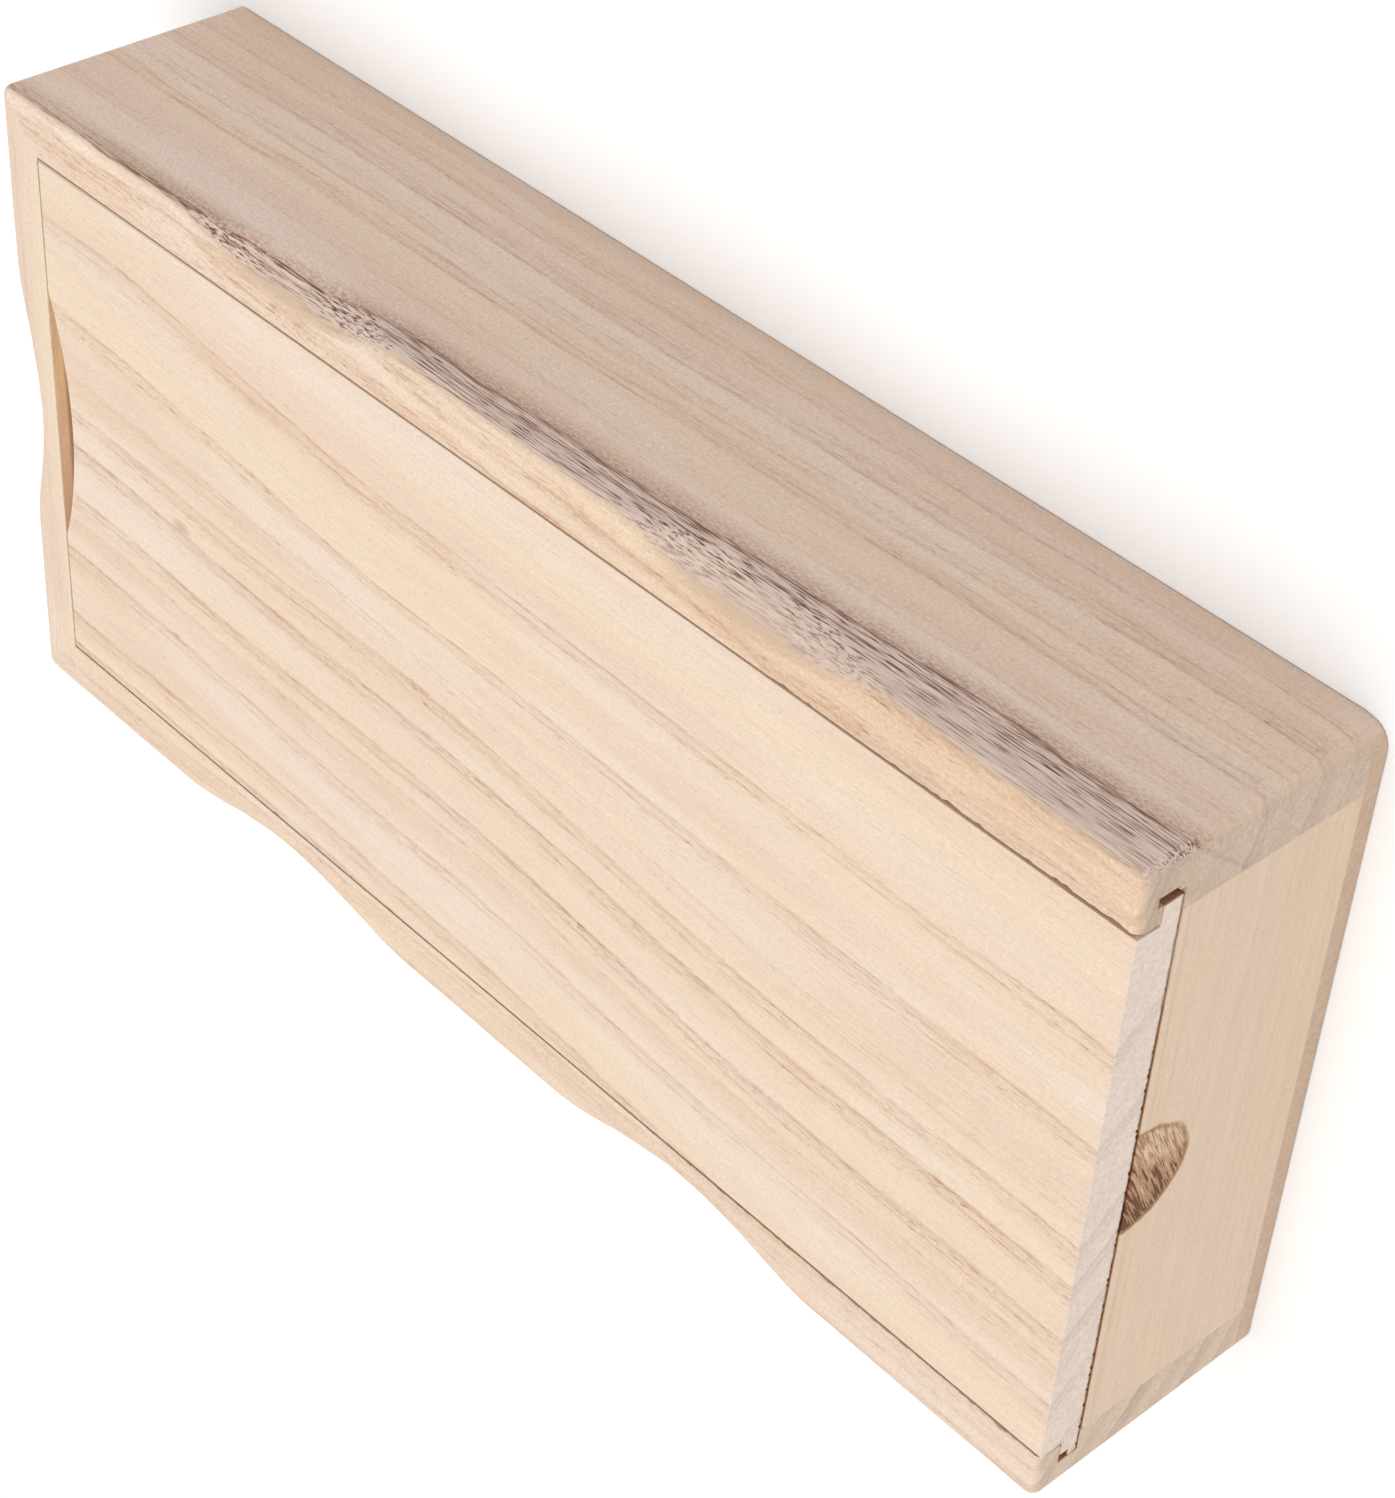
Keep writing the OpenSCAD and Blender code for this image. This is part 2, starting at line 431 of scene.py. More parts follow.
def sanded_body(sizes):
    """The outside of the whole box in one, with its edges sanded and its rim carved."""
    low, high = LOW / MM, HIGH / MM
    rim = sizes.rim_round / MM
    corner = sizes.corner / MM
    foot = sizes.foot_round / MM
    body = block("sanded_body", low, high)
    round_edges(
        body, lambda edge: abs(edge.verts[0].co.z - edge.verts[1].co.z) > 1 * MM, corner * MM, 6)
    pick(
        body, "EDGE",
        lambda edge: abs(edge.verts[0].co.z - edge.verts[1].co.z) < 1e-6
        and edge.calc_length() > 20 * MM)
    bpy.ops.mesh.subdivide(number_cuts=RIM_CUTS)
    done()
    slice_board(body, 2, WALL_CUTS)
    round_edges(body, lambda edge: on_line(edge, z=high.z), rim * MM, 8)
    round_edges(body, lambda edge: on_line(edge, z=low.z), foot * MM, 4)

    def sand(point):
        x, y, z = point
        # The front right corner is worn rounder towards the table
        worn = sizes.foot_corner / MM
        radius = corner + (worn - corner) * (1 - smoothstep(z, 2, 18))
        out = Vector((x - high.x + radius, y - high.y + radius))
        if min(out) > 0:
            from_arc = Vector((x - high.x + corner, y - high.y + corner))
            inset = corner - from_arc.length
            if min(from_arc) <= 0:
                inset = min(high.x - x, high.y - y)
            out = out.normalized() * (radius - inset)
            x, y = high.x - radius + out.x, high.y - radius + out.y
        top = high.z - point.z
        along_x = abs(point.x) < high.x - corner
        along_y = abs(point.y) < high.y - corner
        if top > rim + 0.01 or not (along_x or along_y):
            return x, y, z
        inset = high.y - abs(point.y) if along_x else high.x - abs(point.x)
        if inset > rim + 0.01:
            return x, y, z
        if along_x:
            wall, place = ("right" if point.y > 0 else "left"), point.x
            fade = smoothstep(high.x - abs(point.x), corner, corner + 8)
        else:
            wall, place = ("front" if point.x > 0 else "back"), point.y
            fade = smoothstep(high.y - abs(point.y), corner, corner + 8)
        across, down, flat = edge_cut(wall, place, rim)
        across = rim + (across - rim) * fade
        down = rim + (down - rim) * fade
        turn = math.atan2(rim - top, rim - inset)
        part = turn / (math.pi / 2)
        bulge = 1 - flat
        inset = across * ((1 - math.cos(turn)) * bulge + part * flat)
        top = down * ((1 - math.sin(turn)) * bulge + (1 - part) * flat)
        if along_x:
            y = math.copysign(high.y - inset, point.y)
        else:
            x = math.copysign(high.x - inset, point.x)
        return x, y, high.z - top

    move_points(body, sand)
    return body


def finish_board(board, body, node, wood):
    """Smooths a board, gives it its wood and seats it in the frame."""
    choose(board)
    board.data.materials.clear()
    board.data.materials.append(wood)
    bpy.ops.object.shade_smooth_by_angle(angle=math.radians(32))
    modifier = board.modifiers.new("Even shading", "WEIGHTED_NORMAL")
    modifier.keep_sharp = True
    bpy.ops.object.modifier_apply(modifier=modifier.name)
    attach(board, body)
    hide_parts(node)


# ---------------------------------------------------------------- finishes


class Finish:
    """A material whose nodes are added one by one."""

    def __init__(self, name):
        self.material = bpy.data.materials.new(name)
        self.material.use_nodes = True
        self.tree = self.material.node_tree
        self.shader = self.tree.nodes["Principled BSDF"]

    def put(self, socket, value):
        """Links a node's output to a socket, or sets the socket to a value."""
        if isinstance(value, bpy.types.NodeSocket):
            self.tree.links.new(value, socket)
        elif value is not None:
            socket.default_value = value

    def node(self, kind, **settings):
        new = self.tree.nodes.new(kind)
        for key, value in settings.items():
            setattr(new, key, value)
        return new

    def math(self, operation, first, second=None, third=None, clamp=False):
        new = self.node("ShaderNodeMath", operation=operation, use_clamp=clamp)
        for socket, value in zip(new.inputs, (first, second, third)):
            self.put(socket, value)
        return new.outputs[0]

    def times(self, first, *others):
        """All the values multiplied together."""
        for other in others:
            first = self.math("MULTIPLY", first, other)
        return first

    def share(self, first, second):
        """A product that is kept between 0 and 1."""
        return self.math("MULTIPLY", first, second, clamp=True)

    def plus(self, base, value, factor=None):
        """A base with a value added, or with a factor times the value."""
        if factor is None:
            return self.math("ADD", base, value)
        return self.math("MULTIPLY_ADD", value, factor, base)

    def minus(self, first, second):
        return self.math("SUBTRACT", first, second)

    def distance(self, x, y):
        """How far a place on a plane is from where both coordinates are 0."""
        return self.math("SQRT", self.plus(self.times(x, x), self.times(y, y)))

    def swing(self, noise, amount, middle=None):
        """A noise that swings evenly about a middle, or about 0."""
        noise = self.minus(noise, 0.5)
        if middle is None:
            return self.times(noise, amount)
        return self.plus(middle, noise, amount)

    def stretch(self, vector, factors):
        new = self.node("ShaderNodeVectorMath", operation="MULTIPLY")
        self.put(new.inputs[0], vector)
        self.put(new.inputs[1], factors)
        return new.outputs[0]

    def vector(self, x, y, z):
        new = self.node("ShaderNodeCombineXYZ")
        for socket, value in zip(new.inputs, (x, y, z)):
            self.put(socket, value)
        return new.outputs[0]

    def apart(self, vector):
        """The three coordinates of a vector."""
        new = self.node("ShaderNodeSeparateXYZ")
        self.put(new.inputs[0], vector)
        return new.outputs

    def noise(self, vector, detail=2.0, rough=0.5, twist=0.0):
        new = self.node("ShaderNodeTexNoise")
        self.put(new.inputs["Vector"], vector)
        self.put(new.inputs["Scale"], 1.0)
        self.put(new.inputs["Detail"], detail)
        self.put(new.inputs["Roughness"], rough)
        self.put(new.inputs["Distortion"], twist)
        return new.outputs["Fac"]

    def streaks(self, vector, factors, *settings):
        """Noise drawn out along the axes with the smaller factors."""
        return self.noise(self.stretch(vector, factors), *settings)

    def span(self, value, low, high, first=0.0, last=1.0, smooth=True):
        """Goes from first to last while the value goes from low to high."""
        new = self.node("ShaderNodeMapRange")
        new.interpolation_type = "SMOOTHSTEP" if smooth else "LINEAR"
        for socket, put in zip(new.inputs, (value, low, high, first, last)):
            self.put(socket, put)
        return new.outputs[0]

    def between(self, value, start, full, still, end):
        """1 where the value is between full and still, 0 before start and after end."""
        return self.times(self.span(value, start, full), self.span(value, end, still))

    def curve(self, value, *stops):
        """A level that follows stops, each a place from 0 to 1 and the level there."""
        new = self.node("ShaderNodeValToRGB")
        self.put(new.inputs[0], value)
        elements = new.color_ramp.elements
        for element, (place, level) in zip(elements, (stops[0], stops[-1])):
            element.position = place
            element.color = (level, level, level, 1)
        for place, level in stops[1:-1]:
            elements.new(place).color = (level, level, level, 1)
        return new.outputs["Color"]

    def blend(self, share, first, second, how="MIX"):
        """The first colour with a share of the second mixed in."""
        new = self.node("ShaderNodeMix", data_type="RGBA", blend_type=how)
        self.put(new.inputs[0], share)
        for socket, value in zip((new.inputs[6], new.inputs[7]), (first, second)):
            if not isinstance(value, bpy.types.NodeSocket):
                value = (*value, 1.0)
            self.put(socket, value)
        return new.outputs[2]

    def tint(self, share, colour, by):
        """A colour with a share of another multiplied on."""
        return self.blend(share, colour, by, "MULTIPLY")


def bare_wood(context, name, board, *marks):
    """Bare sanded wood: growth rings, bands, pores and cut ends, all in the solid."""
    look = context.scene.box_wood
    grain = GRAIN[board]
    paint = Finish(name)
    place = paint.node("ShaderNodeTexCoord")
    mapping = paint.node("ShaderNodeMapping")
    mapping.inputs["Scale"].default_value = (1 / MM, 1 / MM, 1 / MM)
    mapping.inputs["Rotation"].default_value = (0, 0, -math.radians(grain["turn"]))
    paint.put(mapping.inputs["Vector"], place.outputs["Object"])
    wood = mapping.outputs[0]
    along, across, up = paint.apart(wood)
    main, other = (across, up) if grain["flat"] else (up, across)

    # Distance through the rings in mm, with their sweep and wander
    amount, first, last = grain["sweep"]
    course = along
    if "early" in grain:
        start, end, shift = grain["early"]
        course = paint.minus(along, paint.span(main, start, end, 0.0, shift))
    sweep = paint.span(course, first, last, 0.0, amount)
    wander = paint.swing(paint.streaks(wood, (0.014, 0.05, 0.05), 1.0), 3 * grain["wander"])
    shiver = paint.swing(paint.streaks(wood, (0.06, 0.35, 0.35), 2.0), 1.1)
    depth = paint.plus(main, other, grain["tilt"])
    depth = paint.minus(depth, grain["tilt"] * grain["rest"])
    depth = paint.plus(depth, sweep)
    if "lean" in grain:
        drift = paint.times(paint.plus(along, 92.0), grain["lean"])
        depth = paint.plus(depth, drift)
    depth = paint.plus(depth, wander)
    depth = paint.plus(depth, shiver)

    # Each ring darkens softly towards its growth line, a thin line with a paler one beside it
    rings = grain["rings"]
    low, high = rings[0][0] - 8, rings[-1][0] + 4
    soft, thin, before = [], [], low + 1
    for line, strength in rings:
        soft += [(max(line - 4.2, before), 0.0), (line - 0.3, strength), (line + 0.7, 0.0)]
        thin += [(line - 0.42, 0.0), (line, strength), (line + 0.28, 0.0)]
        before = line + 0.8

    def on_rings(distance, stops):
        """The level at a distance through the rings, from stops in mm."""
        stops = [((where - low) / (high - low), level) for where, level in stops]
        return paint.curve(paint.span(distance, low, high, smooth=False), *stops)

    breaks = paint.streaks(wood, (0.030, 0.16, 0.16), 2.0)
    fade = paint.times(on_rings(depth, soft), paint.span(breaks, 0.30, 0.60, 0.35, 1.0))
    beside = on_rings(paint.plus(depth, breaks, 3.4), thin)
    ring = paint.math("MAXIMUM", on_rings(depth, thin), paint.times(beside, 0.7))
    gaps = paint.streaks(wood, (0.07, 0.9, 0.9), 3.0, 0.6)
    dashes = paint.streaks(wood, (0.28, 2.6, 2.6), 2.0, 0.6)
    edge = paint.times(
        ring, paint.span(gaps, 0.36, 0.58, 0.15, 1.0), paint.span(dashes, 0.40, 0.58, 0.35, 1.0))

    # Hairlines, broad bands and fibres between the growth lines
    layers = paint.vector(paint.times(along, 0.012), depth, paint.times(other, 0.2))
    hair = paint.streaks(layers, (1.0, 0.85, 1.0), 3.0, 0.6)
    hair = paint.math("ABSOLUTE", paint.minus(hair, 0.5))
    hair = paint.span(hair, 0.004, 0.026, 1.0, 0.0)
    hair = paint.share(hair, paint.plus(0.16, fade, 0.9))
    hair = paint.times(hair, paint.span(dashes, 0.38, 0.60, 0.15, 1.0))
    broad = paint.streaks(layers, (0.6, 0.13, 0.5), 2.0)
    milky = paint.streaks(layers, (1.4, 0.10, 0.5), 2.0, 0.5, 0.3)
    silk = paint.streaks(wood, (0.11, 2.1, 2.1), 3.0, 0.65)
    fibre = paint.streaks(wood, (0.35, 5.5, 5.5), 2.0, 0.7)
    grit = paint.streaks(wood, (1.5, 3.0, 3.0), 2.0, 0.7)

    strength, bands = grain["lines"], grain["bands"]
    colour = paint.blend(paint.span(broad, 0.36, 0.66, 0.0, bands), look.pale, look.blush)
    colour = paint.blend(paint.span(milky, 0.44, 0.66, 0.0, 0.7 * bands), colour, look.milk)
    colour = paint.tint(1.0, colour, grain["tone"])
    colour = paint.blend(paint.times(fade, 0.22 * strength), colour, look.line)
    colour = paint.blend(paint.times(hair, 0.62 * strength), colour, look.line)
    colour = paint.blend(paint.share(edge, 0.86 * strength), colour, look.line)
    sand = 0.065 * grain["grit"]
    sandy = paint.span(grit, 0.25, 0.75, 1 - sand, 1 + sand, smooth=False)
    tone = paint.times(
        paint.span(silk, 0.28, 0.72, 0.950, 1.035, smooth=False),
        paint.span(fibre, 0.25, 0.75, 0.970, 1.025, smooth=False), sandy)
    colour = paint.tint(1.0, colour, paint.vector(tone, tone, tone))

    # Short dark pores, thickest beside the growth lines
    pores = paint.span(paint.streaks(wood, (0.38, 4.6, 4.6), 2.0, 0.6), 0.590, 0.655)
    flock = paint.streaks(wood, (0.025, 0.20, 0.20), 1.0)
    near = paint.plus(0.14, paint.plus(fade, edge), 0.9)
    near = paint.share(near, paint.span(flock, 0.35, 0.65, 0.35, 1.0))
    pores = paint.times(pores, near)
    colour = paint.blend(paint.share(pores, 0.85 * strength), colour, look.pore)

    # Cut ends and worn edges show by the way the surface faces
    facing = paint.apart(place.outputs["Normal"])
    toward = [paint.math("ABSOLUTE", out) for out in facing]
    end_way = toward[1] if grain["turn"] else toward[0]
    flattest = paint.math("MAXIMUM", toward[0], paint.math("MAXIMUM", toward[1], toward[2]))
    worn = paint.span(flattest, 0.80, 0.995, 1.0, 0.0)
    ends = paint.span(end_way, 0.55, 0.9)
    dots = paint.streaks(wood, (0.5, 1.6, 1.6), 3.0, 0.65)
    dull = tuple(level * 0.87 for level in grain["cut"])
    end_tone = paint.blend(paint.span(dots, 0.30, 0.70), grain["cut"], dull)
    end_tone = paint.blend(paint.times(fade, 0.34 * grain["end"]), end_tone, look.shade)
    end_tone = paint.blend(paint.times(ring, 0.42 * grain["end"]), end_tone, look.shade)
    end_tone = paint.tint(1.0, end_tone, paint.vector(sandy, sandy, sandy))
    colour = paint.blend(ends, colour, end_tone)
    colour = paint.blend(paint.times(worn, 0.30), colour, look.worn)

    relief = paint.plus(paint.times(fibre, 0.35), silk, 0.6)
    relief = paint.plus(relief, grit, 0.5)
    relief = paint.plus(relief, pores, -1.0)
    relief = paint.times(relief, paint.span(ends, 0.0, 1.0, 1.0, 0.45, smooth=False))
    if marks:
        place_mm = paint.stretch(place.outputs["Object"], (1 / MM, 1 / MM, 1 / MM))
        where = (place_mm, *paint.apart(place_mm))
    for mark in marks:
        colour, relief = mark(paint, where, look, colour, relief, ends)

    paint.put(paint.shader.inputs["Base Color"], colour)
    rough = paint.span(silk, 0.2, 0.8, 0.60, 0.76, smooth=False)
    paint.put(paint.shader.inputs["Roughness"], rough)
    paint.shader.inputs["Specular IOR Level"].default_value = 0.15
    bump = paint.node("ShaderNodeBump")
    bump.inputs["Strength"].default_value = 0.35
    bump.inputs["Distance"].default_value = 0.12 * MM
    paint.put(bump.inputs["Height"], relief)
    paint.put(paint.shader.inputs["Normal"], bump.outputs[0])
    return paint.material


# Each mark gets the paint, the place in mm with its three coordinates, the wood's look, the
# colour and relief so far and how far the surface is a cut end, and returns the new colour
# and relief. The bare numbers in it are places in mm, or shares from 0 to 1.


def groove_shade(paint, where, look, colour, relief, ends):
    """Painted shade in the groove of the walls, darkest at its front end, partly standing for
    browning by the cutter.
    """
    _, x, y, z = where
    way_in = paint.math("MAXIMUM", paint.math("ABSOLUTE", y), paint.minus(-55.0, x))
    roof = paint.minus(z, paint.span(way_in, 44.2, 44.5, 0.0, 1.1))
    # Painted shade over the groove's walls and floor, strongest towards the front
    shaded = paint.times(
        paint.between(way_in, 42.0, 42.4, 46.1, 46.3), paint.span(z, 32.6, 32.8),
        paint.span(roof, 36.65, 36.45), paint.span(x, 104.95, 104.85),
        paint.span(x, 60, 95, 0.35, 0.9))
    return paint.tint(shaded, colour, GROOVE_SHADE_TINT), relief


def lip_light_and_shade(paint, where, look, colour, relief, ends):
    """The back lip's inner face, brightened by painted bounce light, with painted shade at its
    foot.
    """
    place, x, y, z = where
    face = paint.times(
        paint.span(x, -97.3, -97.1), paint.span(z, 36.3, 36.5), paint.span(z, 39.95, 39.8),
        paint.span(paint.math("ABSOLUTE", y), 24.0, 20.0))
    cloud = paint.streaks(place, (0.12, 0.16, 0.5), 2.0)
    cloud = paint.plus(cloud, y, -0.012)
    # Painted bounce light, from golden to tan, brightens the face
    bounce_light = paint.blend(paint.span(cloud, 0.35, 0.65), LIP_GOLD_LIGHT_TINT, LIP_TAN_LIGHT_TINT)
    colour = paint.tint(face, colour, bounce_light)
    # Painted shade darkens the foot of the face, beside the gap over the tongue
    foot = paint.times(face, paint.span(z, 38.5, 37.7), 0.70)
    return paint.blend(foot, colour, look.pore), relief


def dark_streak(paint, where, look, colour, relief, ends):
    """The dark ring that the carving lays bare along the right rim."""
    place, x, y, z = where

    # Height over the line, which sinks and wavers on its way from the back to the front
    course = paint.span(x, -105, -35, 39.6, 38.2, smooth=False)
    course = paint.plus(course, paint.span(x, -45, -15, 0.0, -2.9))
    course = paint.plus(course, paint.span(x, -15, 105, 0.0, -3.6, smooth=False))
    course = paint.swing(paint.streaks(place, (0.035, 0.1, 0.1), 2.0), 2.2, course)
    inside = paint.minus(50.0, y)
    height = paint.plus(z, inside, 1.15)
    height = paint.minus(height, course)
    jitter = paint.streaks(place, (0.16, 1.6, 1.6), 3.0, 0.65)
    height = paint.swing(jitter, 1.6, height)
    dashes = paint.streaks(place, (0.18, 5.2, 5.2), 2.0, 0.55)
    sandy = paint.streaks(place, (1.3, 3.2, 3.2), 2.0, 0.7)
    onset = paint.times(
        paint.span(x, -104, -60, 0.45, 1.0), paint.minus(1.0, paint.times(ends, 0.80)))
    slope = paint.span(z, 39.7, 39.1)

    # The rim over the streak is warmer, more so towards the front, and its top is given painted
    # light, strongest at the back
    warm = paint.times(paint.span(height, 1.0, 5.5), paint.span(x, -100, 100, 0.5, 1.0))
    colour = paint.tint(warm, colour, RIM_WARM_TINT)
    # Painted light on the top of the rim, brighter and cooler towards the back
    rim = paint.blend(paint.span(x, -70, 90), RIM_BACK_LIGHT_TINT, RIM_FRONT_LIGHT_TINT)
    colour = paint.tint(paint.span(z, 39.2, 39.8), colour, rim)

    # Scoops lay bare duller wood, with a yellower edge along the rim
    bare = paint.times(
        paint.span(inside, 1.4, 3.0), slope, paint.minus(1.0, ends),
        paint.span(dashes, 0.3, 0.7, 0.95, 0.70))
    colour = paint.blend(bare, colour, look.carved)
    crest = paint.times(
        paint.between(z, 39.35, 39.6, 39.75, 39.9), paint.span(inside, 2.0, 3.0), 0.30)
    colour = paint.tint(crest, colour, CREST_TINT)

    # A brown bloom under the line, a grey haze over it
    bloom = paint.times(
        paint.between(height, -4.2, -0.3, 0.0, 0.8), paint.span(sandy, 0.38, 0.62, 0.30, 1.0),
        paint.span(dashes, 0.36, 0.58, 0.60, 1.0), onset, 0.72)
    colour = paint.blend(bloom, colour, BLOOM)
    band = paint.times(
        paint.span(height, -0.6, 0.5), paint.span(inside, 3.5, 1.9), paint.times(slope, onset))
    colour = paint.blend(paint.times(band, 0.72), colour, look.haze)
    chalk = paint.times(band, paint.span(dashes, 0.48, 0.38), 0.60)
    colour = paint.blend(chalk, colour, look.milk)

    # The line itself, a weaker one beside it and dark dashes in the haze
    line = paint.between(height, -0.7, 0.0, 0.1, 0.75)
    second = paint.times(paint.between(height, 1.2, 1.7, 1.9, 2.5), paint.times(band, 0.7))
    line = paint.math("MAXIMUM", line, second)
    line = paint.times(line, paint.span(dashes, 0.42, 0.54, 0.20, 1.0), onset, 0.95)
    colour = paint.blend(line, colour, look.streak)
    flecks = paint.times(
        paint.span(dashes, 0.54, 0.60), band, paint.span(height, 7.0, 2.5, 0.40, 1.0))
    colour = paint.blend(flecks, colour, FLECKS)
    return colour, paint.plus(relief, flecks, -0.8)


def lid_spots(paint, where, look, colour, relief, ends):
    """Two brown spots on the lid's face, and painted shade on its tongue's outer edges and under
    its front edge.
    """
    _, x, y, z = where
    for spot_x, spot_y, size in ((-66.5, -2.6, 1.5), (-69.0, -23.2, 0.7)):
        off_x = paint.times(paint.minus(x, spot_x), 0.55)
        far = paint.distance(off_x, paint.minus(y, spot_y))
        spot = paint.span(far, size * 0.2, size, 0.45, 0.0)
        colour = paint.blend(spot, colour, look.line)
    # Painted shade on the tongue's outer edges near the front, where they show in the slot
    tongue_shade = paint.times(
        paint.span(paint.math("ABSOLUTE", y), 43.9, 44.2), paint.span(x, 104.9, 104.7),
        paint.span(x, 70, 98, 0.0, 0.9))
    colour = paint.tint(tongue_shade, colour, TONGUE_SHADE_TINT)
    # Painted shade under the lid's front edge, in the seam over the front panel
    seam_shade = paint.times(paint.span(z, 33.40, 33.2), paint.span(x, 104.0, 104.8), 0.6)
    return paint.blend(seam_shade, colour, look.pore), relief


def half_knot(paint, where, look, colour, relief, ends):
    """A knot cut through by the upper edge of the front panel, dark on its left side."""
    place, x, y, z = where
    warp = paint.swing(paint.streaks(place, (0.3, 0.32, 0.32), 2.0), 0.16)
    off_y = paint.minus(y, KNOT_MIDDLE[0])
    off_z = paint.minus(z, KNOT_MIDDLE[1])
    far = paint.distance(
        paint.times(off_y, 1 / KNOT_REACH[0]), paint.times(off_z, 1 / KNOT_REACH[1]))
    far = paint.plus(far, warp)
    inside = paint.span(far, 1.03, 0.95)

    # Its streaks, coarse and fine, seen along and across the way they lean
    run = paint.times(off_y, math.cos(KNOT_LEAN))
    run = paint.plus(run, off_z, math.sin(KNOT_LEAN))
    side = paint.times(off_z, math.cos(KNOT_LEAN))
    side = paint.plus(side, off_y, -math.sin(KNOT_LEAN))
    rays = paint.vector(paint.times(run, 0.12), paint.times(side, 1.35), 0.0)
    rays = paint.noise(rays, 3.0, 0.60, 0.5)
    fine = paint.vector(paint.times(run, 0.28), paint.times(side, 3.2), 4.0)
    fine = paint.noise(fine, 2.0, 0.60, 0.3)

    # They grow browner and then dark towards the left, and darkest in the upper left corner
    upper = paint.span(off_z, -4.5, -0.5)
    bias = paint.span(paint.plus(off_y, upper, -2.2), 6.0, -7.8)
    level = paint.plus(paint.swing(fine, 0.80, rays), bias, 0.30)
    brown = paint.times(
        paint.span(level, 0.54, 0.68), paint.span(bias, 0.0, 0.40, 0.15, 1.0), 0.80)
    dark = paint.times(paint.span(level, 0.69, 0.76), paint.span(bias, 0.05, 0.45))
    corner = paint.times(
        paint.span(off_y, -4.8, -7.2), paint.span(off_z, -3.0, -0.8),
        paint.span(fine, 0.40, 0.52))
    dark = paint.times(paint.math("MAXIMUM", dark, corner), 0.92)
    tone = paint.blend(paint.span(fine, 0.38, 0.58), look.knot, KNOT_PALE)
    tone = paint.blend(brown, tone, KNOT_BROWN)
    tone = paint.blend(dark, tone, look.knot_dark)
    rim = paint.times(
        paint.between(far, 0.88, 0.95, 0.96, 1.02), paint.span(rays, 0.4, 0.62, 0.5, 1.0))
    tone = paint.blend(rim, tone, KNOT_RIM)
    colour = paint.blend(inside, colour, tone)
    relief = paint.plus(relief, paint.times(inside, rays), 0.9)

    # The upper edge gets painted shade where it lies under the lid, with a faint line below
    edge = paint.times(
        paint.span(z, 32.48, 32.62), paint.span(x, 103.0, 103.8),
        paint.span(y, 38.0, 22.0, 0.30, 1.0))
    colour = paint.tint(edge, colour, PANEL_EDGE_SHADE_TINT)
    faint = paint.times(paint.between(z, 31.0, 31.3, 31.5, 31.8), 0.5)
    return paint.tint(faint, colour, PANEL_LINE_TINT), relief


def plain_floor(look):
    """A matt pale floor with the faintest unevenness."""
    paint = Finish("pale_floor")
    place = paint.node("ShaderNodeTexCoord")
    cloud = paint.streaks(place.outputs["Object"], (3, 3, 3), 2.0)
    tone = paint.blend(paint.span(cloud, 0.3, 0.7, 0.0, 0.02), look.floor, (0.9, 0.9, 0.9))
    paint.put(paint.shader.inputs["Base Color"], tone)
    paint.shader.inputs["Roughness"].default_value = 0.9
    paint.shader.inputs["Specular IOR Level"].default_value = 0.0
    return paint.material


# ---------------------------------------------------------------- operators


def groove_tool(sizes):
    """What the groove takes out of the walls."""
    low, high = LOW / MM, HIGH / MM
    reach = (sizes.wall - sizes.groove) / MM
    floor = sizes.groove_low / MM
    return block(
        "groove_tool", (low.x + reach, low.y + reach, floor),
        (high.x + 5, high.y - reach, high.z - sizes.lip / MM))


def side_board(context, node, way, *marks):
    """Makes a side board, sawn from the block, mitred, grooved, sanded and carved."""
    sizes = context.scene.box_sizes
    low, high = node_box(node)
    wall = sizes.wall / MM
    inner = high.y - wall if way > 0 else low.y + wall
    outer = high.y + 1 if way > 0 else low.y - 1
    near, far = sorted((inner, outer))
    board = block(f"{node}_board", (low.x - 1, near, low.z), (high.x + 1, far, high.z + 1))
    trim(board, (LOW.x / MM, way * HIGH.y / MM, 0), Vector((-1, -way, 0)))
    combine(board, groove_tool(sizes), "DIFFERENCE")
    if way > 0:
        # The right groove is wider at its front end
        groove_end = block(
            "groove_end", (high.x - 6, high.y - 5.5, 34), (high.x + 2, high.y - 4.0, 37.4))
        combine(board, groove_end, "DIFFERENCE")
    combine(board, sanded_body(sizes), "INTERSECT")
    slice_board(board, 0, [high.x - 0.4 - LIP_STEP * cut for cut in range(LIP_CUTS)])
    round_edges(
        board,
        lambda edge: on_line(edge, y=inner, z=high.z)
        or on_line(edge, y=inner, z=high.z - sizes.lip / MM)
        or on_line(edge, y=inner, z=sizes.groove_low / MM),
        sizes.ease, 2)

    def splinter(point):
        x, y, z = point
        if abs(y - inner) > 0.3 or abs(z - high.z) > 0.3:
            return x, y, z
        chip = max(uneven(x * 0.30, 4.0 + way, 1.0) - 0.12, 0) * 0.7
        chip += max(uneven(x * 1.3, 9.0 + way, 2.0) - 0.08, 0) * 0.65
        return x, y + way * chip * smoothstep(x, 20, 80), z

    move_points(board, splinter)
    wood = bare_wood(context, f"{node}_wood", node, *marks)
    finish_board(board, "box", node, wood)


class BOX_OT_right_side(bpy.types.Operator):
    """Add the right side board with its two scoops and its dark streak"""

    bl_idname = "wooden_box.right_side"
    bl_label = "Right side"

    def execute(self, context):
        side_board(context, "right_side", 1, groove_shade, dark_streak)
        return {"FINISHED"}


class BOX_OT_left_side(bpy.types.Operator):
    """Add the left side board with its two scoops"""

    bl_idname = "wooden_box.left_side"
    bl_label = "Left side"

    def execute(self, context):
        side_board(context, "left_side", -1, groove_shade)
        return {"FINISHED"}


